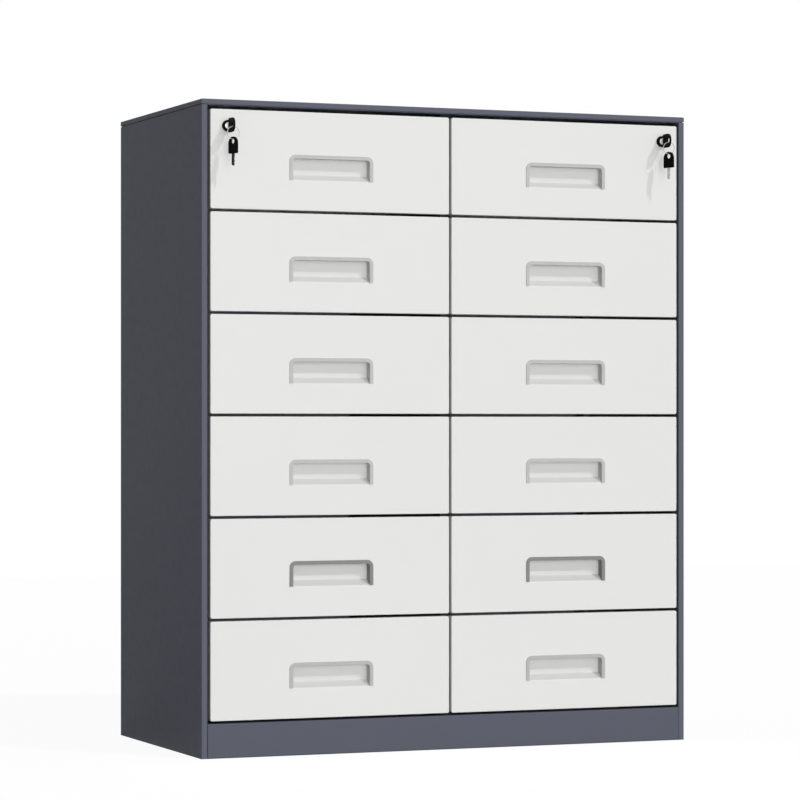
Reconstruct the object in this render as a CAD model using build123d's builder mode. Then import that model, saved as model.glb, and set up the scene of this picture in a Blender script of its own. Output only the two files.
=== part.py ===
from build123d import *

import math
import os

# Steel filing cabinet: twelve drawers in two columns, two cam locks and their keys.
# X runs to the right across the front, Y to the back and Z up, in millimetres.
# The origin is on the floor, at the middle of the whole footprint, keys included.
# Depths are measured back from the plane of the front frame, so what stands proud
# of the frame has a negative depth.

# Carcass
width = 900.0
depth = 450.0
height = 1100.0
sheet = 0.8
bend_radius = 2.0
cap_height = 10.0
cap_lip = 40.0
stile_width = 10.8
stile_depth = 45.0
stile_slit = 2.0
rear_flange = 25.0
plinth_height = 58.0
plinth_foot = 30.0
floor_flange = 22.0
seam_gap = 0.4
divider_width = 20.0
divider_setback = 1.5
upright_width = 30.0
upright_from_back = 60.0

# Drawer fronts and the gaps round them
rows = 6
front_thickness = 20.0
front_proud = 1.0
front_edge = 1.2
front_lip = 20.0
row_gap = 4.8
edge_gap = 4.6
centre_gap = 4.5
top_gap = 6.5
base_gap = 4.3

# Pressed finger pocket and the moulded arch that trims and lines it
handle_width = 151.5
handle_height = 43.0
handle_from_bottom = 51.0
trim_width = 6.5
trim_proud = 1.4
trim_corner = 11.0
skirt = 1.2
skirt_gap = 0.15
pocket_depth = 14.5
ramp_rise = 10.2
ramp_bend = 4.0

# Trays and the channels that they slide in
tray_from_bottom = 14.0
tray_from_top = 44.2
tray_depth = 400.0
runner_space = 12.0
tray_flange = 8.4
tray_hook = 8.0
runner_sheet = 1.0
runner_reach = 10.5
runner_setback = 3.0
runner_length = 408.0
slide_gap = 0.1
lift_gap = 0.5

# Cam locks
lock_from_edge = 30.0
lock_from_top = 28.0
head_diameter = 19.4
head_length = 6.0
head_chamfer = 1.0
barrel_diameter = 16.0
barrel_length = 23.0
nut_flats = 20.0
nut_length = 4.0
plug_diameter = 12.0
plug_gap = 0.05
plug_recess = 0.4
tang_width = 8.0
hole_gap = 0.1
cam_length = 41.0
cam_width = 14.0
cam_thickness = 2.0
screw_head = 8.8
screw_head_length = 2.2
slot_gap = 1.5

# Keys and the ring that joins them
bow_width = 24.0
bow_length = 28.0
bow_thickness = 3.0
bow_corner = 11.0
bow_foot_corner = 2.0
bow_hole = 9.0
bow_hole_from_end = 7.5
key_neck = 2.3
blade_width = 6.5
blade_thickness = 1.8
blade_length = 20.0
blade_tip = 2.2
blade_root = 7.0
keyway_gap = 0.15
notch_depths = (1.4, 2.2, 0.9, 1.8)
notch_pitch = 3.4
notch_start = 5.5
ring_radius = 10.6
ring_wire = 0.9
ring_breadth = 1.4
hang_gap = 0.75
spare_twist = 18.0

# Places worked out from the sizes above
panel_top = height - cap_height
opening_half = width / 2 - stile_width
front_width = opening_half - edge_gap - centre_gap / 2
fronts_height = panel_top - top_gap - plinth_height - base_gap
front_height = (fronts_height - (rows - 1) * row_gap) / rows
row_pitch = front_height + row_gap
tray_height = front_height - tray_from_bottom - tray_from_top
front_face = -front_proud
front_back = front_face + front_thickness
divider_front = front_back + divider_setback
back_panel_front = depth - 2 * sheet
upright_front = back_panel_front - upright_from_back
runner_front = front_back + runner_setback
tray_outer = opening_half - runner_space
tray_inner = divider_width / 2 + runner_space
trim_inner_width = handle_width - 2 * trim_width
trim_inner_height = handle_height - trim_width
pocket_width = trim_inner_width + 2 * (skirt + skirt_gap)
pocket_height = trim_inner_height + skirt + skirt_gap
ramp_slope = math.atan2(ramp_rise, pocket_depth)
ramp_bend_reach = ramp_bend * math.tan(math.pi / 4 - ramp_slope / 2) * math.cos(ramp_slope)
skirt_depth = pocket_depth - ramp_bend_reach - skirt_gap
lock_x = opening_half - edge_gap - lock_from_edge
lock_z = panel_top - top_gap - lock_from_top
lock_face = front_face - head_length
plug_face = lock_face + plug_recess
barrel_back = front_face + barrel_length
bow_foot = lock_face - key_neck
bow_end = bow_foot - bow_length
bow_hole_depth = bow_end + bow_hole_from_end
ring_top_z = lock_z - bow_hole / 2 + ring_wire / 2 + hang_gap
ring_z = ring_top_z - ring_radius
ring_bottom_z = ring_z - ring_radius
spare_hole_z = ring_bottom_z + ring_wire / 2 + hang_gap - bow_hole / 2
spare_foot_z = spare_hole_z + bow_hole_from_end - bow_length
twist = math.radians(spare_twist)
spare_reach = (bow_width * math.cos(twist) + bow_thickness * math.sin(twist)) / 2
keys_front = bow_hole_depth - spare_reach
front_y = -(depth + keys_front) / 2

os.makedirs("parts", exist_ok=True)


def save(piece, name):
    """Label a finished piece and write it to its own file."""
    piece.part.label = name
    export_step(piece.part, f"parts/{name}.step")


def facing(x, at_depth, z):
    """Plane parallel to the front, seen from the front; extrusions come forward."""
    return Plane(origin=(x, front_y + at_depth, z), x_dir=(1, 0, 0), z_dir=(0, -1, 0))


def sideways(x, at_depth, z):
    """Plane square to X, drawn as (depth, height); extrusions go to the right."""
    return Plane(origin=(x, front_y + at_depth, z), x_dir=(0, 1, 0), z_dir=(1, 0, 0))


def level(z):
    """Horizontal plane drawn as (X, depth); extrusions go up."""
    return Plane(origin=(0, front_y, z), x_dir=(1, 0, 0), z_dir=(0, 0, 1))


def row_bottom(row):
    """Height of the bottom edge of a drawer front; row 1 is the top one."""
    return plinth_height + base_gap + (rows - row) * row_pitch


def column_x(side):
    """Middle of the drawer fronts of the left (-1) or right (1) column."""
    return side * (centre_gap + front_width) / 2


# Carcass

def make_side_panels():
    """Outer skins, folded into a boxed stile in front and a flange behind."""
    outer = -width / 2
    inner = -opening_half
    with BuildPart() as left:
        with BuildSketch(level(0)):
            with BuildLine():
                FilletPolyline(
                    (outer + rear_flange, depth),
                    (outer, depth),
                    (outer, 0),
                    (inner, 0),
                    (inner, stile_depth),
                    (outer + sheet + stile_slit, stile_depth),
                    radius=bend_radius,
                )
                offset(amount=sheet, side=Side.LEFT)
            make_face()
        extrude(amount=panel_top)
    with BuildPart() as right:
        add(left.part.mirror(Plane.YZ))
    save(left, "side_panel_left")
    save(right, "side_panel_right")


def make_top_cap():
    """Shallow lid with a lip folded in below, slotted over each lock for its cam."""
    lip_z = panel_top - lock_z
    reach = math.sqrt(cam_length**2 - lip_z**2) + slot_gap
    near = cam_width / 2 + slot_gap
    cam_depth = barrel_back + cam_thickness / 2
    with BuildPart() as cap:
        with BuildSketch(level(panel_top)):
            with Locations((0, depth / 2)):
                Rectangle(width, depth)
        extrude(amount=cap_height)
        fillet(cap.faces().sort_by(Axis.Z)[-1].edges(), bend_radius)
        with BuildSketch(level(panel_top + sheet)):
            with Locations((0, depth / 2)):
                Rectangle(width - 2 * sheet, depth - 2 * sheet)
        extrude(amount=cap_height - 2 * sheet, mode=Mode.SUBTRACT)
        with BuildSketch(level(panel_top)):
            with Locations((0, depth / 2)):
                Rectangle(width - 2 * cap_lip, depth - 2 * cap_lip)
            for side in (-1, 1):
                with Locations((side * (lock_x - (reach - near) / 2), cam_depth)):
                    Rectangle(reach + near, cam_thickness + 2 * slot_gap)
        extrude(amount=sheet, mode=Mode.SUBTRACT)
    save(cap, "top_cap")


def make_back_panel():
    """Flat sheet welded to the rear flanges, clear of their bends."""
    with BuildPart() as panel:
        with BuildSketch(level(0)):
            with Locations((0, back_panel_front + sheet / 2)):
                Rectangle(width - 2 * bend_radius, sheet)
        extrude(amount=panel_top)
    save(panel, "back_panel")


def make_base_pan():
    """Cabinet floor and plinth folded from one sheet, notched round the stiles."""
    front_half = opening_half - seam_gap
    rear_half = width / 2 - sheet
    notch = stile_depth + seam_gap
    rear_depth = depth - bend_radius - notch
    with BuildPart() as pan:
        with BuildSketch(sideways(-front_half, 0, 0)):
            with BuildLine():
                FilletPolyline(
                    (plinth_foot, 0),
                    (0, 0),
                    (0, plinth_height),
                    (notch + sheet, plinth_height),
                    radius=bend_radius,
                )
                offset(amount=sheet, side=Side.RIGHT)
            make_face()
        extrude(amount=2 * front_half)
        with BuildSketch(level(plinth_height - floor_flange)):
            with Locations((0, notch + rear_depth / 2)):
                Rectangle(2 * rear_half, rear_depth)
        extrude(amount=floor_flange)
        with BuildSketch(level(plinth_height - floor_flange)):
            with Locations((0, notch + rear_depth / 2)):
                Rectangle(2 * (rear_half - sheet), rear_depth - 2 * sheet)
        extrude(amount=floor_flange - sheet, mode=Mode.SUBTRACT)
    save(pan, "base_pan")


def make_centre_divider():
    """Hollow wall between the two columns."""
    wall_depth = back_panel_front - divider_front
    with BuildPart() as divider:
        with BuildSketch(level(plinth_height)):
            with Locations((0, divider_front + wall_depth / 2)):
                Rectangle(divider_width, wall_depth)
                Rectangle(
                    divider_width - 2 * sheet,
                    wall_depth - 2 * sheet,
                    mode=Mode.SUBTRACT,
                )
        extrude(amount=panel_top - plinth_height)
    save(divider, "centre_divider")


def make_rear_uprights():
    """Channels on the side skins that carry the rear ends of the outer runners."""
    skin = -width / 2 + sheet
    near = upright_front
    far = upright_front + upright_width
    with BuildPart() as uprights:
        with BuildSketch(level(plinth_height)):
            with BuildLine():
                Polyline((skin, near), (-opening_half, near), (-opening_half, far), (skin, far))
                offset(amount=sheet, side=Side.LEFT)
            make_face()
            mirror(about=Plane.YZ)
        extrude(amount=panel_top - plinth_height)
    save(uprights, "rear_uprights")


def make_runners():
    """Channels fixed to the carcass, one on each side of every tray."""
    hook_end = tray_from_bottom + tray_height - tray_hook
    low = hook_end - slide_gap - runner_sheet
    high = tray_from_bottom + tray_height + lift_gap + runner_sheet
    carriers = (
        (-opening_half, 1),
        (-divider_width / 2, -1),
        (divider_width / 2, 1),
        (opening_half, -1),
    )
    with BuildPart() as runners:
        for row in range(1, rows + 1):
            for carrier, way in carriers:
                web = carrier + way * runner_sheet / 2
                middle = carrier + way * runner_reach / 2
                z = row_bottom(row)
                with BuildSketch(facing(0, runner_front, z)):
                    with Locations((web, (low + high) / 2)):
                        Rectangle(runner_sheet, high - low)
                    with Locations(
                        (middle, low + runner_sheet / 2), (middle, high - runner_sheet / 2)
                    ):
                        Rectangle(runner_reach, runner_sheet)
                extrude(amount=-runner_length)
    save(runners, "cabinet_runners")


# Drawers

def pocket_form(x, z, skin):
    """Finger pocket as a solid that reaches from the face to its back wall.

    A skin of zero gives the hollow; the sheet's gauge gives the outside of the pressing.
    The trim's lining covers its square corners.
    """
    drop = skin / math.cos(ramp_slope)
    back = pocket_depth + skin
    ramp_top = ramp_rise + skin * math.tan(ramp_slope) - drop
    with BuildPart() as form:
        with BuildSketch(sideways(x, front_face, z + handle_from_bottom)):
            with BuildLine():
                Polyline(
                    (0, -drop),
                    (back, ramp_top),
                    (back, pocket_height + skin),
                    (0, pocket_height + skin),
                    close=True,
                )
            make_face()
        extrude(amount=pocket_width / 2 + skin, both=True)
        bend = form.edges().filter_by(Axis.X).group_by(Axis.Y)[-1].sort_by(Axis.Z)[0]
        fillet(bend, ramp_bend + skin)
    return form.part


def make_drawer_front(side, row, name):
    """Folded box front with the finger pocket pressed into it."""
    x = column_x(side)
    z = row_bottom(row)
    middle = z + front_height / 2
    pressing = pocket_form(x, z, sheet)
    hollow = pocket_form(x, z, 0)
    with BuildPart() as front:
        with BuildSketch(facing(x, front_face, middle)):
            Rectangle(front_width, front_height)
        extrude(amount=-front_thickness)
        fillet(front.faces().sort_by(Axis.Y)[0].edges(), front_edge)
        with BuildSketch(facing(x, front_face + sheet, middle)):
            Rectangle(front_width - 2 * sheet, front_height - 2 * sheet)
        extrude(amount=-(front_thickness - 2 * sheet), mode=Mode.SUBTRACT)
        with BuildSketch(facing(x, front_back, middle)):
            Rectangle(front_width - 2 * front_lip, front_height - 2 * front_lip)
        extrude(amount=sheet, mode=Mode.SUBTRACT)
        add(pressing)
        add(hollow, mode=Mode.SUBTRACT)
        if row == 1:
            with BuildSketch(facing(side * lock_x, front_face, lock_z)):
                Circle(barrel_diameter / 2 + hole_gap)
            extrude(amount=-sheet, mode=Mode.SUBTRACT)
    save(front, name)


def make_handle_trim(side, row, name):
    """Moulded arch round the pocket's mouth, with a skirt that lines its top and sides."""
    x = column_x(side)
    z = row_bottom(row) + handle_from_bottom
    inner_corner = trim_corner - trim_width
    skirt_rise = skirt_depth * math.tan(ramp_slope)
    with BuildPart() as trim:
        with BuildSketch(facing(x, front_face, z)) as flange:
            with Locations((0, handle_height / 2)):
                Rectangle(handle_width, handle_height)
            fillet(flange.vertices().group_by(Axis.Y)[-1], trim_corner)
        extrude(amount=trim_proud)
        with BuildSketch(facing(x, front_face, z)):
            with Locations((0, (trim_inner_height + skirt) / 2)):
                Rectangle(trim_inner_width + 2 * skirt, trim_inner_height + skirt)
        extrude(amount=-skirt_depth)
        with BuildSketch(facing(x, front_face - trim_proud, z)) as window:
            with Locations((0, trim_inner_height / 2)):
                Rectangle(trim_inner_width, trim_inner_height)
            fillet(window.vertices().group_by(Axis.Y)[-1], inner_corner)
        extrude(amount=-(trim_proud + skirt_depth), mode=Mode.SUBTRACT)
        with BuildSketch(sideways(x - handle_width / 2, front_face, z)):
            with BuildLine():
                Polyline(
                    (0, 0),
                    (0, skirt_gap),
                    (skirt_depth, skirt_rise + skirt_gap),
                    (skirt_depth, 0),
                    close=True,
                )
            make_face()
        extrude(amount=handle_width, mode=Mode.SUBTRACT)
    save(trim, name)


def make_drawer_tray(side, row, name):
    """Folded tray whose side walls turn out and down into the runners."""
    low = row_bottom(row) + tray_from_bottom
    half = (tray_outer - tray_inner) / 2
    x = side * (tray_outer + tray_inner) / 2
    with BuildPart() as tray:
        with BuildSketch(facing(x, front_back, low)):
            with BuildLine():
                Polyline(
                    (-half, tray_height),
                    (-half, 0),
                    (half, 0),
                    (half, tray_height),
                )
                offset(amount=sheet, side=Side.LEFT)
            make_face()
            for way in (-1, 1):
                with Locations((way * (half + tray_flange / 2 - sheet / 2), tray_height - sheet / 2)):
                    Rectangle(tray_flange + sheet, sheet)
                with Locations((way * (half + tray_flange - sheet / 2), tray_height - tray_hook / 2)):
                    Rectangle(sheet, tray_hook)
        extrude(amount=-tray_depth)
        for wall in (front_back, front_back + tray_depth - sheet):
            with BuildSketch(facing(x, wall, low)):
                with Locations((0, tray_height / 2)):
                    Rectangle(2 * half, tray_height)
            extrude(amount=-sheet)
    save(tray, name)


# Locks and keys

def lock_plane(side, at_depth):
    """Plane square to a lock's axis, centred on it."""
    return facing(side * lock_x, at_depth, lock_z)


def make_lock_barrel(side, name):
    """Threaded lock body with its round head, and the nut that clamps it."""
    skin_back = front_face + sheet
    bore = plug_diameter / 2 + plug_gap
    with BuildPart() as barrel:
        with BuildSketch(lock_plane(side, front_face)):
            Circle(head_diameter / 2)
        extrude(amount=head_length)
        chamfer(barrel.faces().sort_by(Axis.Y)[0].edges(), head_chamfer)
        with BuildSketch(lock_plane(side, front_face)):
            Circle(barrel_diameter / 2)
        extrude(amount=-barrel_length)
        with BuildSketch(lock_plane(side, lock_face)):
            Circle(bore)
        extrude(amount=-(head_length + barrel_length), mode=Mode.SUBTRACT)
        with BuildSketch(lock_plane(side, skin_back)):
            RegularPolygon(nut_flats / 2, 6, major_radius=False)
            Circle(barrel_diameter / 2 + plug_gap, mode=Mode.SUBTRACT)
        extrude(amount=-nut_length)
    save(barrel, name)


def blade_outline(length, plane):
    """Flat key blade with its notches, drawn from the bow's foot towards the tip."""
    with BuildPart() as blade:
        with BuildSketch(plane):
            with BuildLine():
                Polyline(
                    (-blade_root, -blade_width / 2),
                    (length - blade_tip, -blade_width / 2),
                    (length, -blade_width / 2 + blade_tip),
                    (length, blade_width / 2 - blade_tip),
                    (length - blade_tip, blade_width / 2),
                    (-blade_root, blade_width / 2),
                    close=True,
                )
            make_face()
            for index, cut in enumerate(notch_depths):
                centre = notch_start + index * notch_pitch
                with BuildLine():
                    Polyline(
                        (centre - cut, -blade_width / 2),
                        (centre, -blade_width / 2 + cut),
                        (centre + cut, -blade_width / 2),
                        close=True,
                    )
                make_face(mode=Mode.SUBTRACT)
        extrude(amount=blade_thickness / 2, both=True)
    return blade.part


def bow_outline(plane, blade):
    """Moulded key bow, round at its end, with the ring's hole and the blade's seat."""
    with BuildPart() as bow:
        with BuildSketch(plane) as outline:
            with Locations((-bow_length / 2, 0)):
                Rectangle(bow_length, bow_width)
            fillet(outline.vertices().sort_by(Axis.X)[:2], bow_corner)
            chamfer(outline.vertices().sort_by(Axis.X)[-2:], bow_foot_corner)
            with Locations((-bow_length + bow_hole_from_end, 0)):
                Circle(bow_hole / 2, mode=Mode.SUBTRACT)
        extrude(amount=bow_thickness / 2, both=True)
        add(blade, mode=Mode.SUBTRACT)
    return bow


def make_lock_plug(side, name):
    """Turning plug with its keyway, and a square tang behind that drives the cam."""
    length = barrel_back - plug_face
    with BuildPart() as plug:
        with BuildSketch(lock_plane(side, plug_face)):
            Circle(plug_diameter / 2)
        extrude(amount=-length)
        with BuildSketch(lock_plane(side, barrel_back)):
            Rectangle(tang_width, tang_width)
        extrude(amount=-cam_thickness)
        with BuildSketch(lock_plane(side, plug_face)):
            Rectangle(blade_thickness + 2 * keyway_gap, blade_width + 2 * keyway_gap)
        extrude(amount=-(blade_length - key_neck), mode=Mode.SUBTRACT)
    save(plug, name)


def make_lock_cam(side, name):
    """Cam plate on the plug's tang, pointing inwards while unlocked, and its screw."""
    cam_back = barrel_back + cam_thickness
    with BuildPart() as cam:
        with BuildSketch(lock_plane(side, barrel_back)):
            with Locations((-side * (cam_length - cam_width / 2) / 2, 0)):
                Rectangle(cam_length - cam_width / 2, cam_width)
            Circle(cam_width / 2)
            with Locations((-side * (cam_length - cam_width / 2), 0)):
                Circle(cam_width / 2)
        extrude(amount=-cam_thickness)
        with BuildSketch(lock_plane(side, barrel_back)):
            Rectangle(tang_width, tang_width)
        extrude(amount=-cam_thickness, mode=Mode.SUBTRACT)
        with BuildSketch(lock_plane(side, cam_back)):
            Circle(screw_head / 2)
        extrude(amount=-screw_head_length)
    save(cam, name)


def make_keys(side, word):
    """Key in the lock, the ring through its bow and the spare key hanging from it."""
    x = side * lock_x
    in_lock = Plane(
        origin=(x, front_y + bow_foot, lock_z), x_dir=(0, 1, 0), z_dir=(1, 0, 0)
    )
    hanging = Plane(
        origin=(x, front_y + bow_hole_depth, spare_foot_z),
        x_dir=(0, 0, -1),
        z_dir=(math.cos(twist), math.sin(twist), 0),
    )
    for plane, prefix in ((in_lock, "key"), (hanging, "spare_key")):
        flat = blade_outline(blade_length, plane)
        with BuildPart() as blade:
            add(flat)
        bow = bow_outline(plane, flat)
        save(blade, f"{prefix}_blade_{word}")
        save(bow, f"{prefix}_bow_{word}")
    with BuildPart() as ring:
        with BuildSketch(facing(x, bow_hole_depth - ring_breadth / 2, ring_z)):
            Circle(ring_radius + ring_wire / 2)
            Circle(ring_radius - ring_wire / 2, mode=Mode.SUBTRACT)
        extrude(amount=-ring_breadth)
    save(ring, f"key_ring_{word}")


make_side_panels()
make_top_cap()
make_back_panel()
make_base_pan()
make_centre_divider()
make_rear_uprights()
make_runners()
for side, word in ((-1, "left"), (1, "right")):
    for row in range(1, rows + 1):
        make_drawer_front(side, row, f"drawer_front_{word}_{row}")
        make_handle_trim(side, row, f"handle_trim_{word}_{row}")
        make_drawer_tray(side, row, f"drawer_tray_{word}_{row}")
    make_lock_barrel(side, f"lock_barrel_{word}")
    make_lock_plug(side, f"lock_plug_{word}")
    make_lock_cam(side, f"lock_cam_{word}")
    make_keys(side, word)
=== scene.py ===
import math

import bmesh
import bpy
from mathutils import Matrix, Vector
from mathutils.geometry import tessellate_polygon


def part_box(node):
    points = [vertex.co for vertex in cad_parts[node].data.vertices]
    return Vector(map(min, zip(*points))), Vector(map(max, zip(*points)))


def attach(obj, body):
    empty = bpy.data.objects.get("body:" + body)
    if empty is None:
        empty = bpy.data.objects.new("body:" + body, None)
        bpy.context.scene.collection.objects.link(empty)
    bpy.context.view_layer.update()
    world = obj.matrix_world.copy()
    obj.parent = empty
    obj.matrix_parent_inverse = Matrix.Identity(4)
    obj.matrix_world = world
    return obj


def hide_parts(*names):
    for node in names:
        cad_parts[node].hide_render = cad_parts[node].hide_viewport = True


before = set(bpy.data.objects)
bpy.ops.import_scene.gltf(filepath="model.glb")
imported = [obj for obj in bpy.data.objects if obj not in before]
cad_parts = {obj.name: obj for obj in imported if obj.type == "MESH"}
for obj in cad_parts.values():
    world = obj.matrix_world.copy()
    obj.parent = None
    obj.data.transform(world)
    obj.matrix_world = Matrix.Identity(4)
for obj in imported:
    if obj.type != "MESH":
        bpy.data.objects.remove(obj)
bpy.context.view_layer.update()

mm = 0.001
sides = {"left": -1, "right": 1}
rows = 6

# Trim plastic from 0 to 255; two rows get darker copies of it as painted shade
plain_trim_tone = 196
row_trim_shade_tones = {5: 140, 6: 188}

# Sheet metal
sheet = 0.8 * mm
least_corner = 0.3 * mm

# Lid
lid_ledge = 0.3 * mm
lid_seam_height = 1.5 * mm
lid_seam_depth = 2.4 * mm
lid_fold = 0.3 * mm
lid_bend = 2.0 * mm
lid_corner = 1.0 * mm
lid_lip = 40.0 * mm
slot_gap = 1.5 * mm

# Meshes; angles in degrees
weld_distance = 0.001 * mm
least_edge = 0.0001 * mm
smooth_angle = 35
fold_angle = 50

# Softened edges of the solids that stay
skin_softening = 0.35 * mm
thin_softening = 0.25 * mm
zinc_softening = 0.2 * mm
cam_softening = 0.3 * mm

# Pressed drawer fronts
front_edge = 1.2 * mm
front_corner = 3.0 * mm
back_edge = 1.0 * mm
front_lip = 20.0 * mm

# Finger pocket
trim_width = 6.5 * mm
trim_proud = 1.4 * mm
trim_corner = 11.0 * mm
trim_round = 0.6 * mm
skirt = 1.2 * mm
skirt_gap = 0.15 * mm
pocket_depth = 14.5 * mm
pocket_low_corner = 2.5 * mm
pocket_bend = 1.5 * mm
ramp_rise = 10.2 * mm
ramp_bend = 1.6 * mm
mouth_bend = 3.0 * mm
# Painted shade: the fronts' colour darkens between these depths behind the face
pocket_shade_start = 0.4 * mm
pocket_shade_end = 2.0 * mm
pocket_shade_tone = 0.89

# Locks
head_radius = 9.7 * mm
head_round = 1.0 * mm
barrel_radius = 8.0 * mm
hole_gap = 0.1 * mm
thread_pitch = 1.0 * mm
thread_height = 0.45 * mm
bore_radius = 6.05 * mm
bore_chamfer = 0.3 * mm
nut_across = 20.0 * mm
nut_length = 4.0 * mm
plug_radius = 6.0 * mm
plug_round = 0.4 * mm
tang_width = 8.0 * mm
cam_length = 41.0 * mm
cam_width = 14.0 * mm
cam_thickness = 2.0 * mm
keyway_width = 2.1 * mm
keyway_height = 6.8 * mm
keyway_depth = 17.7 * mm

# Keys
bow_width = 24.0 * mm
bow_length = 28.0 * mm
bow_thickness = 3.0 * mm
bow_corner = 11.0 * mm
bow_foot_corner = 2.0 * mm
bow_edge = 0.5 * mm
bow_hole = 4.5 * mm
bow_hole_from_end = 7.5 * mm
bow_panel_depth = 0.35 * mm
bow_panel_start = 3.0 * mm
bow_panel_end = 13.5 * mm
bow_panel_half = 7.5 * mm
bow_panel_corner = 2.0 * mm
blade_width = 6.5 * mm
blade_thickness = 1.8 * mm
blade_length = 20.0 * mm
blade_root = 7.0 * mm
blade_tip = 2.2 * mm
groove_depth = 0.4 * mm
groove_start = 0.8 * mm
groove_low = 0.2 * mm
groove_high = 1.4 * mm
groove_corner = 0.3 * mm
notch_depths = (1.4 * mm, 2.2 * mm, 0.9 * mm, 1.8 * mm)
notch_pitch = 3.4 * mm
notch_start = 5.5 * mm
spare_twist = math.radians(18)
ring_radius = 10.6 * mm
ring_wire = 0.9 * mm
ring_coil = 0.66 * mm
ring_corner = 0.2 * mm
ring_turns = 1.94
ring_steps = 180

# Fine surface detail: waves per metre, and how far roughness or tone strays
cloud_waves = 7.0
coat_gloss_waves = 60.0
coat_gloss_spread = 0.04
peel_waves = 650.0
fleck_waves = 120.0
fleck_spread = 0.03
plastic_gloss_waves = 300.0
plastic_gloss_spread = 0.05
grain_waves = 1800.0
metal_gloss_spread = 0.08
metal_tone_low = 0.88
metal_tone_high = 1.06
noise_low = 0.3
noise_high = 0.7

# Camera, matched to the photograph; focal length and centre in pixels, yaw in degrees
camera_frame = 800
camera_focal = 3210.95
camera_centre_x = 367.05
camera_centre_y = 424.08
camera_x = -2.1747
camera_distance = 5.0640
camera_height = 0.5578
camera_yaw = 21.759
camera_sensor = 36

# Light; heights and sides in degrees from the front's own direction, softness in degrees
ambient = 0.24
key_energy = 0.96
key_softness = 2.0
key_height = 44.3
key_side = 37.5
fill_height = 3.0
fill_side = 2.0
soft_energy = 1.19
soft_softness = 40.0
even_energy = 0.6
even_softness = 10.0
floor_half = 6.0
floor_grey_seen = 0.12
floor_grey_unseen = 0.45
floor_glow = 0.93


# Mesh building

def add_loop(bm, points):
    """Vertices for a closed outline, in order."""
    return [bm.verts.new(point) for point in points]


def bridge(bm, first, second):
    """Quads between two closed outlines with as many vertices each."""
    for index in range(len(first)):
        after = (index + 1) % len(first)
        bm.faces.new((first[index], first[after], second[after], second[index]))


def bridge_all(bm, loops):
    """Quads along a stack of outlines."""
    for first, second in zip(loops, loops[1:]):
        bridge(bm, first, second)


def fill_flat(bm, outline, *holes):
    """Flat surface inside an outline, open at its holes."""
    loops = (outline, *holes)
    corners = [corner for loop in loops for corner in loop]
    for triangle in tessellate_polygon([[corner.co for corner in loop] for loop in loops]):
        bm.faces.new([corners[index] for index in triangle])


def rounded_outline(low_u, high_u, low_v, high_v, low_radius, high_radius, steps=6):
    """Rounded rectangle as (u, v) pairs, counter-clockwise from its low left corner."""
    corners = (
        (low_u + low_radius, low_v + low_radius, low_radius, 180),
        (high_u - low_radius, low_v + low_radius, low_radius, 270),
        (high_u - high_radius, high_v - high_radius, high_radius, 0),
        (low_u + high_radius, high_v - high_radius, high_radius, 90),
    )
    points = []
    for centre_u, centre_v, radius, start in corners:
        for step in range(steps + 1):
            angle = math.radians(start + 90 * step / steps)
            points.append((centre_u + radius * math.cos(angle), centre_v + radius * math.sin(angle)))
    return points


def centred_outline(centre, across, up):
    """Rectangle with least corners about a centre, in the plane of the fronts."""
    return rounded_outline(
        centre.x - across / 2,
        centre.x + across / 2,
        centre.z - up / 2,
        centre.z + up / 2,
        least_corner,
        least_corner,
    )


def circle_outline(centre_u, centre_v, radius, steps=40):
    """Circle as (u, v) pairs, counter-clockwise."""
    angles = [2 * math.pi * step / steps for step in range(steps)]
    return [(centre_u + radius * math.cos(a), centre_v + radius * math.sin(a)) for a in angles]


def rounded_edge(radius, steps):
    """(inset, depth) pairs round an edge, from face to side; swapped, from side to face."""
    turns = [math.radians(90 * step / steps) for step in range(steps + 1)]
    return [(radius * (1 - math.sin(turn)), radius * (1 - math.cos(turn))) for turn in turns]


def make_piece(name, bm, body, material, replaced=()):
    """Turn a finished mesh into a piece that rides on a body."""
    bmesh.ops.remove_doubles(bm, verts=bm.verts, dist=weld_distance)
    bmesh.ops.dissolve_degenerate(bm, edges=bm.edges, dist=least_edge)
    mesh = bpy.data.meshes.new(name)
    bm.to_mesh(mesh)
    bm.free()
    mesh.shade_smooth()
    mesh.set_sharp_from_angle(angle=math.radians(smooth_angle))
    mesh.materials.append(material)
    piece = bpy.data.objects.new(name, mesh)
    bpy.context.scene.collection.objects.link(piece)
    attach(piece, body)
    if replaced:
        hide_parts(*replaced)
    return piece


def weight_normals(piece):
    """Keep large flat faces flat beside small rounded edges."""
    modifier = piece.modifiers.new("weighted", "WEIGHTED_NORMAL")
    modifier.keep_sharp = True


def face_outwards(bm):
    """Point the faces of a closed mesh outwards."""
    bmesh.ops.recalc_face_normals(bm, faces=bm.faces)


# Materials

def new_material(name):
    """Material with its node tree and its shader."""
    material = bpy.data.materials.new(name)
    material.use_nodes = True
    tree = material.node_tree
    return material, tree, tree.nodes["Principled BSDF"]


def noise(tree, scale, detail=3.0, roughness=0.5):
    """Noise in the object's own coordinates; the scale is in waves per metre."""
    place = tree.nodes.new("ShaderNodeTexCoord")
    texture = tree.nodes.new("ShaderNodeTexNoise")
    texture.inputs["Scale"].default_value = scale
    texture.inputs["Detail"].default_value = detail
    texture.inputs["Roughness"].default_value = roughness
    tree.links.new(place.outputs["Object"], texture.inputs["Vector"])
    return texture.outputs["Fac"]


def spread(tree, value, low, high):
    """Map a noise value to a range."""
    node = tree.nodes.new("ShaderNodeMapRange")
    node.inputs["From Min"].default_value = noise_low
    node.inputs["From Max"].default_value = noise_high
    node.inputs["To Min"].default_value = low
    node.inputs["To Max"].default_value = high
    tree.links.new(value, node.inputs["Value"])
    return node.outputs["Result"]


def tint(tree, colour, value):
    """Colour whose brightness follows a value near one."""
    node = tree.nodes.new("ShaderNodeVectorMath")
    node.operation = "SCALE"
    node.inputs[0].default_value = colour
    tree.links.new(value, node.inputs["Scale"])
    return node.outputs["Vector"]


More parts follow.
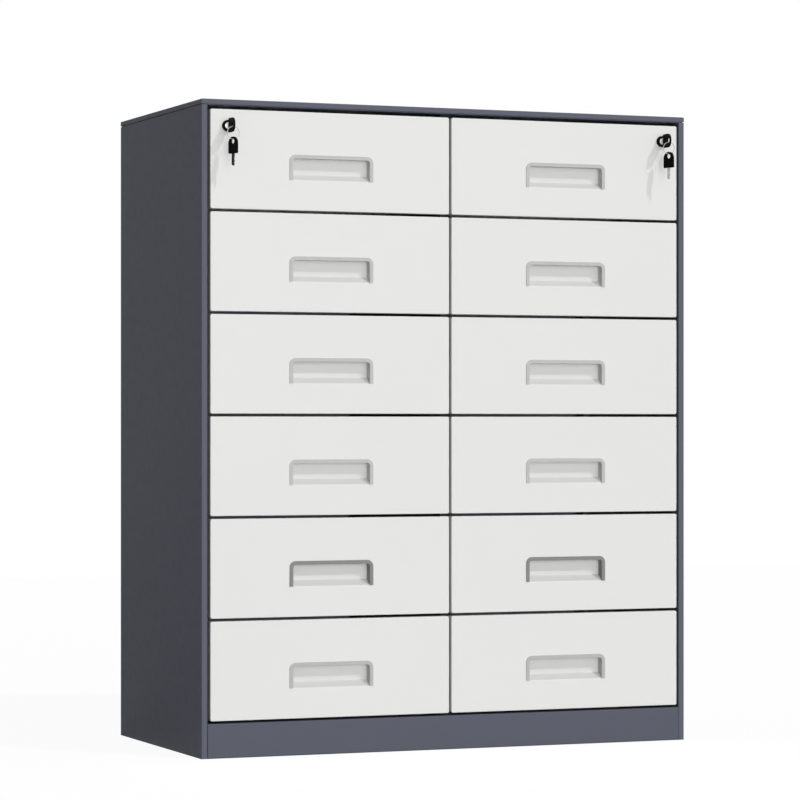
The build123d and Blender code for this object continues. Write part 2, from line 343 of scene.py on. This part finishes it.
def add_gloss(tree, shader, value, roughness, stray):
    """Roughness that strays a little with a noise value."""
    rough = spread(tree, value, roughness - stray, roughness + stray)
    tree.links.new(rough, shader.inputs["Roughness"])


def add_bump(tree, shader, height, distance):
    """Bump from a height value; the distance is in metres."""
    bump = tree.nodes.new("ShaderNodeBump")
    bump.inputs["Distance"].default_value = distance
    bump.inputs["Strength"].default_value = 1.0
    tree.links.new(height, bump.inputs["Height"])
    tree.links.new(bump.outputs["Normal"], shader.inputs["Normal"])


def linear(red, green, blue):
    """Screen colour from 0 to 255 as linear light."""
    def one(value):
        value /= 255
        return value / 12.92 if value <= 0.04045 else ((value + 0.055) / 1.055) ** 2.4
    return (one(red), one(green), one(blue))


def pocket_painted_shade(tree, value, face):
    """Painted shade: the colour darkens with depth behind the face, inside the finger pocket."""
    place = tree.nodes.new("ShaderNodeTexCoord")
    parts = tree.nodes.new("ShaderNodeSeparateXYZ")
    depth = tree.nodes.new("ShaderNodeMapRange")
    depth.inputs["From Min"].default_value = face + pocket_shade_start
    depth.inputs["From Max"].default_value = face + pocket_shade_end
    depth.inputs["To Min"].default_value = 1.0
    depth.inputs["To Max"].default_value = pocket_shade_tone
    product = tree.nodes.new("ShaderNodeMath")
    product.operation = "MULTIPLY"
    tree.links.new(place.outputs["Object"], parts.inputs["Vector"])
    tree.links.new(parts.outputs["Y"], depth.inputs["Value"])
    tree.links.new(depth.outputs["Result"], product.inputs[0])
    tree.links.new(value, product.inputs[1])
    return product.outputs["Value"]


def powder_coat(name, colour, variation, roughness, gloss, peel, face=None):
    """Baked powder coat: even colour, satin, with a fine orange peel; given a face, painted shade
    darkens it inside the pocket.
    """
    material, tree, shader = new_material(name)
    cloud = spread(tree, noise(tree, cloud_waves, 2.0), 1 - variation, 1 + variation)
    # painted shade inside the finger pocket
    if face is not None:
        cloud = pocket_painted_shade(tree, cloud, face)
    tree.links.new(tint(tree, colour, cloud), shader.inputs["Base Color"])
    add_gloss(tree, shader, noise(tree, coat_gloss_waves, 4.0), roughness, coat_gloss_spread)
    shader.inputs["Specular IOR Level"].default_value = gloss
    add_bump(tree, shader, noise(tree, peel_waves, 2.0), peel)
    return material


def moulded_plastic(name, colour, roughness, gloss, grain):
    """Moulded plastic with a fine spark-eroded texture."""
    material, tree, shader = new_material(name)
    fleck = spread(tree, noise(tree, fleck_waves, 3.0), 1 - fleck_spread, 1 + fleck_spread)
    tree.links.new(tint(tree, colour, fleck), shader.inputs["Base Color"])
    add_gloss(tree, shader, noise(tree, plastic_gloss_waves, 3.0), roughness, plastic_gloss_spread)
    shader.inputs["Specular IOR Level"].default_value = gloss
    add_bump(tree, shader, noise(tree, grain_waves, 3.0), grain)
    return material


def plated_metal(name, colour, roughness, waves, relief):
    """Plated metal with drawing marks or the crystals of zinc."""
    material, tree, shader = new_material(name)
    shade = spread(tree, noise(tree, waves, 3.0, 0.6), metal_tone_low, metal_tone_high)
    tree.links.new(tint(tree, colour, shade), shader.inputs["Base Color"])
    add_gloss(tree, shader, noise(tree, waves * 2, 3.0), roughness, metal_gloss_spread)
    shader.inputs["Metallic"].default_value = 1.0
    add_bump(tree, shader, noise(tree, waves * 3, 2.0), relief)
    return material


front_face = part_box("drawer_front_left_1")[0].y
slate_finish = {"variation": 0.012, "roughness": 0.6, "gloss": 0.1, "peel": 0.000015}
slate = powder_coat("slate_powder_coat", linear(97, 100, 112), **slate_finish)
# The plinth gets a darker copy of the slate coat: painted shade
plinth_shade_slate = powder_coat("plinth_painted_shade_coat", linear(91, 94, 106), **slate_finish)
# The divider gets a dark copy of the slate coat, painted shade for the gaps between the drawers
divider_shade_slate = powder_coat("divider_painted_shade_coat", linear(46, 47, 52), **slate_finish)

white_finish = {"roughness": 0.45, "gloss": 0.2, "peel": 0.000012}
# The fronts' coat takes painted shade inside the finger pocket
front_white = powder_coat(
    "white_powder_coat", linear(232, 232, 230), variation=0.003, face=front_face, **white_finish
)
tray_white = powder_coat("tray_powder_coat", linear(222, 222, 219), variation=0.006, **white_finish)

trim_finish = {"roughness": 0.5, "gloss": 0.1, "grain": 0.00002}
trims = {
    tone: moulded_plastic(f"trim_plastic_{tone}", linear(tone, tone, tone - 2), **trim_finish)
    for tone in (plain_trim_tone, *row_trim_shade_tones.values())
}
lock_black = moulded_plastic("black_lock_coating", linear(6, 6, 7), 0.5, 0.04, 0.00001)
key_black = moulded_plastic("black_key_plastic", linear(5, 5, 6), 0.5, 0.04, 0.00002)

zinc_finish = {"waves": 90.0, "relief": 0.00003}
zinc = plated_metal("galvanised_zinc", linear(178, 181, 184), 0.42, **zinc_finish)
# Darker copy of the zinc for the rear uprights: painted shade where they show through the gaps
upright_shade_zinc = plated_metal("upright_painted_shade_zinc", linear(72, 74, 77), 0.6, **zinc_finish)
plating = {"waves": 500.0, "relief": 0.00001}
nickel = plated_metal("bright_nickel", linear(196, 195, 191), 0.42, **plating)
ring_nickel = plated_metal("satin_nickel", linear(168, 168, 166), 0.55, **plating)
# Darker copy of the blade's nickel for the left spare key: a painted dark reflection
dark_reflection_steel = plated_metal("nickel_painted_dark_reflection", linear(52, 54, 66), 0.4, **plating)
lock_zinc = plated_metal("passivated_zinc", linear(140, 138, 130), 0.5, 400.0, 0.00001)


# Carcass panels, trays, runners and cams keep their solids and get softened folds

def dress(name, material, softening):
    """Material and softened edges for a solid that stays."""
    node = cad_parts[name]
    node.data.materials.clear()
    node.data.materials.append(material)
    node.data.shade_smooth()
    node.data.set_sharp_from_angle(angle=math.radians(smooth_angle))
    bevel = node.modifiers.new("fold", "BEVEL")
    bevel.width = softening
    bevel.segments = 2
    bevel.limit_method = "ANGLE"
    bevel.angle_limit = math.radians(fold_angle)
    bevel.harden_normals = True


def dress_carcass():
    """Slate skins and zinc inside; plinth, divider and rear uprights take darker copies as painted
    shade.
    """
    dress("side_panel_left", slate, skin_softening)
    dress("side_panel_right", slate, skin_softening)
    dress("base_pan", plinth_shade_slate, skin_softening)
    dress("back_panel", slate, thin_softening)
    dress("centre_divider", divider_shade_slate, thin_softening)
    dress("cabinet_runners", zinc, zinc_softening)
    dress("rear_uprights", upright_shade_zinc, zinc_softening)


# Lid

def make_lid():
    """Lid folded from one sheet, joggled above the seam, its lip slotted for the cams."""
    low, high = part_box("top_cap")
    bm = bmesh.new()

    def lid_loop(inset, z):
        corner = max(lid_corner - inset, least_corner)
        outline = rounded_outline(
            low.x + inset, high.x - inset, low.y + inset, high.y - inset, corner, corner
        )
        return add_loop(bm, [(u, v, z) for u, v in outline])

    seam_top = low.z + lid_seam_height
    outer = [
        lid_loop(sheet, low.z),
        lid_loop(sheet, low.z + lid_ledge),
        lid_loop(lid_seam_depth, low.z + lid_ledge),
        lid_loop(lid_seam_depth, seam_top),
    ]
    for inset, rise in rounded_edge(lid_fold, 3):
        outer.append(lid_loop(inset, seam_top + rise))
    for drop, inset in rounded_edge(lid_bend, 5):
        outer.append(lid_loop(inset, high.z - drop))
    inner = [
        lid_loop(lid_seam_depth + sheet, low.z + sheet),
        lid_loop(lid_seam_depth + sheet, seam_top + sheet),
        lid_loop(sheet, seam_top + sheet),
        lid_loop(sheet, high.z - lid_bend),
        lid_loop(lid_bend, high.z - sheet),
    ]
    for loops in (outer, inner):
        bridge_all(bm, loops)
        fill_flat(bm, loops[-1])

    opening = [lid_loop(lid_lip, low.z), lid_loop(lid_lip, low.z + sheet)]
    bridge(bm, *opening)
    holes = [opening]
    for word, side in sides.items():
        barrel_low, barrel_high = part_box(f"lock_barrel_{word}")
        lock = (barrel_low + barrel_high) / 2
        reach = math.sqrt(cam_length**2 - (low.z - lock.z)**2) + slot_gap
        ends = sorted((lock.x - side * reach, lock.x + side * (cam_width / 2 + slot_gap)))
        slot = rounded_outline(
            *ends,
            barrel_high.y - slot_gap,
            barrel_high.y + cam_thickness + slot_gap,
            least_corner,
            least_corner,
        )
        rims = [add_loop(bm, [(u, v, z) for u, v in slot]) for z in (low.z, low.z + sheet)]
        bridge(bm, *rims)
        holes.append(rims)
    fill_flat(bm, outer[0], *[rims[0] for rims in holes])
    fill_flat(bm, inner[0], *[rims[1] for rims in holes])
    face_outwards(bm)
    piece = make_piece("folded_lid", bm, "root", slate, ("top_cap",))
    weight_normals(piece)


# Drawer fronts

def ramp_path():
    """Bottom of the pocket as (depth, height) pairs, from the face to the back wall."""
    slope = math.atan2(ramp_rise, pocket_depth)
    turn = math.pi / 2 - slope
    path = []
    start = mouth_bend * math.tan(turn / 2)
    for step in range(7):
        angle = turn * step / 6
        path.append((mouth_bend * (1 - math.cos(angle)), mouth_bend * math.sin(angle) - start))
    cut = ramp_bend * math.tan(turn / 2)
    foot = (pocket_depth - cut * math.cos(slope), ramp_rise - cut * math.sin(slope))
    centre = (foot[0] - ramp_bend * math.sin(slope), foot[1] + ramp_bend * math.cos(slope))
    for step in range(9):
        angle = slope + turn * step / 8
        path.append((centre[0] + ramp_bend * math.sin(angle), centre[1] - ramp_bend * math.cos(angle)))
    return path


def make_front(word, row):
    """Folded box front with rounded edges and the finger pocket pressed into it."""
    name = f"drawer_front_{word}_{row}"
    low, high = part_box(name)
    trim_low, trim_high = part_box(f"handle_trim_{word}_{row}")
    face = low.y
    bm = bmesh.new()

    def frame_loop(inset, y):
        corner = max(front_corner - inset, least_corner)
        outline = rounded_outline(
            low.x + inset, high.x - inset, low.z + inset, high.z - inset, corner, corner
        )
        return add_loop(bm, [(u, y, v) for u, v in outline])

    loops = [frame_loop(front_lip, high.y)]
    for inset, depth in rounded_edge(back_edge, 3):
        loops.append(frame_loop(inset, high.y - depth))
    for depth, inset in rounded_edge(front_edge, 6):
        loops.append(frame_loop(inset, face + depth))
    bridge_all(bm, loops)

    wall = trim_width - skirt - skirt_gap
    corner = trim_corner - wall
    pocket = []
    for depth, bottom in ramp_path():
        near_back = max(depth - (pocket_depth - pocket_bend), 0)
        inset = pocket_bend - math.sqrt(max(pocket_bend**2 - near_back**2, 0))
        outline = rounded_outline(
            trim_low.x + wall + inset,
            trim_high.x - wall - inset,
            trim_low.z + bottom,
            trim_high.z - wall - inset,
            pocket_low_corner,
            corner - inset,
        )
        pocket.append(add_loop(bm, [(u, face + depth, v) for u, v in outline]))
    bridge_all(bm, pocket)
    fill_flat(bm, pocket[-1])

    holes = [pocket[0]]
    if row == 1:
        barrel_low, barrel_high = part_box(f"lock_barrel_{word}")
        centre = (barrel_low + barrel_high) / 2
        rim = circle_outline(centre.x, centre.z, barrel_radius + hole_gap)
        holes.append(add_loop(bm, [(u, face, v) for u, v in rim]))
    fill_flat(bm, loops[-1], *holes)
    face_outwards(bm)
    on_face = [f for f in bm.faces if abs(f.calc_center_median().y - face) < weld_distance]
    if max(on_face, key=lambda f: f.calc_area()).normal.y > 0:
        bmesh.ops.reverse_faces(bm, faces=bm.faces)

    label = f"pressed_front_{word}_{row}"
    piece = make_piece(label, bm, f"drawer_{word}_{row}", front_white, (name,))
    skin = piece.modifiers.new("gauge", "SOLIDIFY")
    skin.thickness = sheet
    skin.offset = -1
    skin.use_even_offset = True
    weight_normals(piece)


def make_trim(word, row):
    """Moulded arch swept round the pocket's mouth, with a skirt that lines it."""
    name = f"handle_trim_{word}_{row}"
    low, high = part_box(name)
    face = low.y + trim_proud
    half = trim_width / 2
    slope = ramp_rise / pocket_depth
    skirt_depth = high.y - face
    section = [(-half, skirt_depth), (-half, trim_proud), (-half, 0)]
    for drop, inset in rounded_edge(trim_round, 4):
        section.append((-half + inset, drop - trim_proud))
    for inset, drop in rounded_edge(trim_round, 4):
        section.append((half - inset, drop - trim_proud))
    section += [(half, 0), (-half + skirt, 0), (-half + skirt, skirt_depth)]

    stations = []
    left = low.x + half
    right = high.x - half
    shoulder = high.z - trim_corner
    clear = low.z + skirt_depth * slope + skirt_gap
    stations.append((left, low.z, -1, 0, True))
    stations.append((left, clear + skirt_gap, -1, 0, False))
    for centre_x, start in ((low.x + trim_corner, 180), (high.x - trim_corner, 90)):
        for step in range(9):
            angle = math.radians(start - 90 * step / 8)
            reach = trim_corner - half
            stations.append((
                centre_x + reach * math.cos(angle),
                shoulder + reach * math.sin(angle),
                math.cos(angle),
                math.sin(angle),
                False,
            ))
    stations.append((right, clear + skirt_gap, 1, 0, False))
    stations.append((right, low.z, 1, 0, True))

    bm = bmesh.new()
    loops = []
    for x, z, out_x, out_z, foot in stations:
        points = []
        for across, depth in section:
            lift = depth * slope + skirt_gap if foot and depth > 0 else 0
            points.append((x + across * out_x, face + depth, z + across * out_z + lift))
        loops.append(add_loop(bm, points))
    bridge_all(bm, loops)
    flat_section = [Vector((across, depth, 0)) for across, depth in section]
    for end in (loops[0], loops[-1]):
        for triangle in tessellate_polygon([flat_section]):
            bm.faces.new([end[index] for index in triangle])
    face_outwards(bm)
    # Rows 5 and 6 take darker copies of the trim plastic: painted shade
    plastic = trims[row_trim_shade_tones.get(row, plain_trim_tone)]
    label = f"arch_trim_{word}_{row}"
    piece = make_piece(label, bm, f"drawer_{word}_{row}", plastic, (name,))
    weight_normals(piece)


def make_drawers():
    """Twelve fronts with their trims, and the trays behind them."""
    for word in sides:
        for row in range(1, rows + 1):
            make_front(word, row)
            make_trim(word, row)
            dress(f"drawer_tray_{word}_{row}", tray_white, thin_softening)


# Locks

def revolve(bm, centre, profile, steps=48):
    """Turn a closed (radius, depth) profile about an axis square to the front."""
    loops = []
    for radius, y in profile:
        ring = circle_outline(centre.x, centre.z, radius, steps)
        loops.append(add_loop(bm, [(u, y, v) for u, v in ring]))
    bridge_all(bm, loops + [loops[0]])


def make_barrel(word, face):
    """Round black head, threaded body and the hexagonal nut behind the sheet."""
    name = f"lock_barrel_{word}"
    low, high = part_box(name)
    centre = (low + high) / 2
    skin_back = face + sheet
    profile = [
        (bore_radius, high.y),
        (bore_radius, low.y + bore_chamfer),
        (bore_radius + bore_chamfer, low.y),
    ]
    for inset, depth in rounded_edge(head_round, 4):
        profile.append((head_radius - inset, low.y + depth))
    profile += [(head_radius, face), (barrel_radius, face), (barrel_radius, skin_back)]
    turns = int((high.y - skin_back) / thread_pitch)
    for turn in range(turns):
        start = skin_back + turn * thread_pitch
        profile.append((barrel_radius - thread_height, start + thread_pitch / 2))
        profile.append((barrel_radius, start + thread_pitch))
    profile.append((barrel_radius - thread_height, high.y))
    bm = bmesh.new()
    revolve(bm, centre, profile)
    face_outwards(bm)
    make_piece(f"lock_body_{word}", bm, f"drawer_{word}_1", lock_black, (name,))

    bm = bmesh.new()
    corners = circle_outline(centre.x, centre.z, nut_across / math.sqrt(3), 6)
    hole = circle_outline(centre.x, centre.z, barrel_radius)
    outer = []
    inner = []
    for y in (skin_back, skin_back + nut_length):
        outer.append(add_loop(bm, [(u, y, v) for u, v in corners]))
        inner.append(add_loop(bm, [(u, y, v) for u, v in hole]))
        fill_flat(bm, outer[-1], inner[-1])
    bridge(bm, *outer)
    bridge(bm, *inner)
    face_outwards(bm)
    make_piece(f"lock_nut_{word}", bm, f"drawer_{word}_1", lock_zinc)


def make_plug(word, barrel_back):
    """Nickel plug with its keyway in front and its square tang behind."""
    name = f"lock_plug_{word}"
    low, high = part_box(name)
    centre = (low + high) / 2
    bm = bmesh.new()
    keyway = centred_outline(centre, keyway_width, keyway_height)
    slot_front = add_loop(bm, [(u, low.y, v) for u, v in keyway])
    slot_back = add_loop(bm, [(u, low.y + keyway_depth, v) for u, v in keyway])
    loops = []
    for inset, depth in rounded_edge(plug_round, 4):
        ring = circle_outline(centre.x, centre.z, plug_radius - inset)
        loops.append(add_loop(bm, [(u, low.y + depth, v) for u, v in ring]))
    ring = circle_outline(centre.x, centre.z, plug_radius)
    loops.append(add_loop(bm, [(u, barrel_back, v) for u, v in ring]))
    bridge_all(bm, loops)
    fill_flat(bm, loops[0], slot_front)
    bridge(bm, slot_front, slot_back)
    fill_flat(bm, slot_back)
    tang = centred_outline(centre, tang_width, tang_width)
    tang_front = add_loop(bm, [(u, barrel_back, v) for u, v in tang])
    tang_back = add_loop(bm, [(u, barrel_back + cam_thickness, v) for u, v in tang])
    fill_flat(bm, loops[-1], tang_front)
    bridge(bm, tang_front, tang_back)
    fill_flat(bm, tang_back)
    face_outwards(bm)
    make_piece(f"lock_core_{word}", bm, f"lock_{word}", nickel, (name,))


# Keys

def plate(bm, place, outline, thickness, edge, holes, panels, panel_depth):
    """Flat plate with rounded edges, through holes and shallow panels in both faces."""
    half = thickness / 2
    levels = [(depth - half, inset) for inset, depth in rounded_edge(edge, 3)]
    levels += [(-level, inset) for level, inset in reversed(levels)]
    outer = []
    inner = [[] for _ in holes]
    for level, inset in levels:
        outer.append(add_loop(bm, [place(u, v, level) for u, v in outline(inset)]))
        for index, (centre_u, centre_v, radius) in enumerate(holes):
            rim = circle_outline(centre_u, centre_v, radius + inset)
            inner[index].append(add_loop(bm, [place(u, v, level) for u, v in rim]))
    bridge_all(bm, outer)
    for rims in inner:
        bridge_all(bm, rims)
    for end, way in ((0, 1), (-1, -1)):
        level = levels[end][0]
        openings = [rims[end] for rims in inner]
        for low_u, high_u, low_v, high_v, corner in panels:
            shape = rounded_outline(low_u, high_u, low_v, high_v, corner, corner)
            rim = add_loop(bm, [place(u, v, level) for u, v in shape])
            floor = add_loop(bm, [place(u, v, level + way * panel_depth) for u, v in shape])
            bridge(bm, rim, floor)
            fill_flat(bm, floor)
            openings.append(rim)
        fill_flat(bm, outer[end], *openings)
    face_outwards(bm)


def bow_outline(inset):
    """Key bow from its foot at u = 0 to its round end, drawn smaller by an inset."""
    half = bow_width / 2 - inset
    rounded = rounded_outline(
        -half, half, -bow_length + inset, -inset, bow_corner - inset, bow_foot_corner - inset / 2
    )
    return [(v, u) for u, v in rounded]


def blade_outline(_):
    """Key blade from its root inside the bow to its tip, notched along one edge."""
    half = blade_width / 2
    points = [(-blade_root, -half)]
    for index, cut in enumerate(notch_depths):
        centre = notch_start + index * notch_pitch
        points += [(centre - cut, -half), (centre, -half + cut), (centre + cut, -half)]
    points += [
        (blade_length - blade_tip, -half),
        (blade_length, -half + blade_tip),
        (blade_length, half - blade_tip),
        (blade_length - blade_tip, half),
        (-blade_root, half),
    ]
    return points


def make_key(prefix, word, body, place, metal):
    """Black bow with a shallow panel, and a grooved blade."""
    hole = (-bow_length + bow_hole_from_end, 0, bow_hole)
    panel = (-bow_panel_end, -bow_panel_start, -bow_panel_half, bow_panel_half, bow_panel_corner)
    groove = (groove_start, blade_length - blade_tip, groove_low, groove_high, groove_corner)
    bm = bmesh.new()
    plate(bm, place, bow_outline, bow_thickness, bow_edge, [hole], [panel], bow_panel_depth)
    bow = f"{prefix}_bow_{word}"
    piece = make_piece(f"{prefix}_head_{word}", bm, body, key_black, (bow,))
    weight_normals(piece)
    bm = bmesh.new()
    plate(bm, place, blade_outline, blade_thickness, 0, [], [groove], groove_depth)
    blade = f"{prefix}_blade_{word}"
    make_piece(f"{prefix}_shank_{word}", bm, body, metal, (blade,))


def make_ring(word):
    """Split ring: flat wire wound nearly twice round."""
    name = f"key_ring_{word}"
    low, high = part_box(name)
    centre = (low + high) / 2
    wire = ring_wire / 2
    shape = rounded_outline(-wire, wire, -ring_coil / 2, ring_coil / 2, ring_corner, ring_corner, 3)
    bm = bmesh.new()
    loops = []
    for step in range(ring_steps + 1):
        along = step / ring_steps
        angle = 2 * math.pi * ring_turns * along
        shift = (along - 0.5) * (high.y - low.y - ring_coil)
        loops.append(add_loop(bm, [
            (
                centre.x + (ring_radius + u) * math.cos(angle),
                centre.y + shift + v,
                centre.z + (ring_radius + u) * math.sin(angle),
            )
            for u, v in shape
        ]))
    bridge_all(bm, loops)
    bm.faces.new(loops[0])
    bm.faces.new(loops[-1])
    face_outwards(bm)
    make_piece(f"split_ring_{word}", bm, f"key_ring_{word}", ring_nickel, (name,))


def make_locks():
    """Lock, key, ring and spare key of each top drawer."""
    for word in sides:
        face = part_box(f"drawer_front_{word}_1")[0].y
        make_barrel(word, face)
        make_plug(word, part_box(f"lock_barrel_{word}")[1].y)
        dress(f"lock_cam_{word}", lock_zinc, cam_softening)

        low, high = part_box(f"key_bow_{word}")
        seat = Vector(((low.x + high.x) / 2, high.y, (low.z + high.z) / 2))
        low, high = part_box(f"spare_key_bow_{word}")
        hang = Vector(((low.x + high.x) / 2, (low.y + high.y) / 2, low.z))
        across = Vector((-math.sin(spare_twist), math.cos(spare_twist), 0))
        through = Vector((math.cos(spare_twist), math.sin(spare_twist), 0))
        make_key("key", word, f"lock_{word}", lambda u, v, w: seat + Vector((w, u, v)), nickel)
        make_key(
            "spare_key",
            word,
            f"spare_key_{word}",
            lambda u, v, w: hang + Vector((0, 0, -u)) + across * v + through * w,
            # the left spare blade takes the painted dark reflection
            dark_reflection_steel if word == "left" else nickel,
        )
        make_ring(word)


# Studio

def by_ray(tree, seen, unseen):
    """Value that differs between camera, mirror or glass rays and all other rays."""
    path = tree.nodes.new("ShaderNodeLightPath")
    first = tree.nodes.new("ShaderNodeMath")
    first.operation = "MAXIMUM"
    second = tree.nodes.new("ShaderNodeMath")
    second.operation = "MAXIMUM"
    pick = tree.nodes.new("ShaderNodeMapRange")
    pick.inputs["To Min"].default_value = unseen
    pick.inputs["To Max"].default_value = seen
    tree.links.new(path.outputs["Is Camera Ray"], first.inputs[0])
    tree.links.new(path.outputs["Is Glossy Ray"], first.inputs[1])
    tree.links.new(first.outputs["Value"], second.inputs[0])
    tree.links.new(path.outputs["Is Transmission Ray"], second.inputs[1])
    tree.links.new(second.outputs["Value"], pick.inputs["Value"])
    return pick.outputs["Result"]


def square(low_x, high_x, low_y, high_y):
    """Corners of a rectangle on the floor."""
    return [(low_x, low_y, 0), (high_x, low_y, 0), (high_x, high_y, 0), (low_x, high_y, 0)]


def floor_material(name, glow):
    """Matt floor that keeps a faint shadow and glows for the camera."""
    material, tree, shader = new_material(name)
    grey = by_ray(tree, floor_grey_seen, floor_grey_unseen)
    tree.links.new(tint(tree, (1, 1, 1), grey), shader.inputs["Base Color"])
    shader.inputs["Roughness"].default_value = 0.9
    shader.inputs["Specular IOR Level"].default_value = 0.0
    if glow:
        shader.inputs["Emission Color"].default_value = (1, 1, 1, 1)
        tree.links.new(by_ray(tree, glow, 0.0), shader.inputs["Emission Strength"])
    return material


def make_floor():
    """White floor that glows for the camera, left dark under the cabinet as painted shade."""
    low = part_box("side_panel_left")[0]
    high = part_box("side_panel_right")[1]
    bm = bmesh.new()
    edge = add_loop(bm, square(-floor_half, floor_half, -floor_half, floor_half))
    footprint = add_loop(bm, square(low.x, high.x, low.y, high.y))
    fill_flat(bm, edge, footprint)
    # The footprint keeps no glow: painted shade under the cabinet
    bm.faces.new(footprint).material_index = 1
    mesh = bpy.data.meshes.new("studio_floor")
    bm.to_mesh(mesh)
    bm.free()
    mesh.materials.append(floor_material("studio_floor", floor_glow))
    mesh.materials.append(floor_material("studio_floor_painted_shade", 0))
    floor = bpy.data.objects.new("studio_floor", mesh)
    bpy.context.scene.collection.objects.link(floor)
    floor.visible_shadow = False


def make_studio():
    """White surroundings, one key light and two frontal fills."""
    scene = bpy.context.scene
    world = bpy.data.worlds.new("studio")
    world.use_nodes = True
    background = world.node_tree.nodes["Background"]
    background.inputs["Color"].default_value = (1, 1, 1, 1)
    world.node_tree.links.new(by_ray(world.node_tree, 1.0, ambient), background.inputs["Strength"])
    scene.world = world

    add_sun("key", key_energy, key_softness, key_height, key_side)
    add_sun("soft_fill", soft_energy, soft_softness, fill_height, fill_side)
    add_sun("even_fill", even_energy, even_softness, fill_height, fill_side, shadow=False)


def add_sun(name, energy, softness, height, side, shadow=True):
    """Distant light from so many degrees above the floor and aside from square on."""
    data = bpy.data.lights.new(name, "SUN")
    data.energy = energy
    data.angle = math.radians(softness)
    data.use_shadow = shadow
    lamp = bpy.data.objects.new(name, data)
    lamp.rotation_euler = (math.radians(90 - height), 0, math.radians(side))
    bpy.context.scene.collection.objects.link(lamp)


def make_camera():
    """Camera at the photograph's viewpoint, level, with the frame shifted."""
    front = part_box("side_panel_left")[0].y
    data = bpy.data.cameras.new("camera")
    data.sensor_width = camera_sensor
    data.lens = camera_focal / camera_frame * data.sensor_width
    data.shift_x = (camera_frame / 2 - camera_centre_x) / camera_frame
    data.shift_y = (camera_centre_y - camera_frame / 2) / camera_frame
    camera = bpy.data.objects.new("camera", data)
    camera.location = (camera_x, front - camera_distance, camera_height)
    camera.rotation_euler = (math.radians(90), 0, math.radians(-camera_yaw))
    bpy.context.scene.collection.objects.link(camera)
    bpy.context.scene.camera = camera


dress_carcass()
make_lid()
make_drawers()
make_locks()
make_studio()
make_floor()
make_camera()
bpy.context.scene.view_settings.view_transform = "Standard"
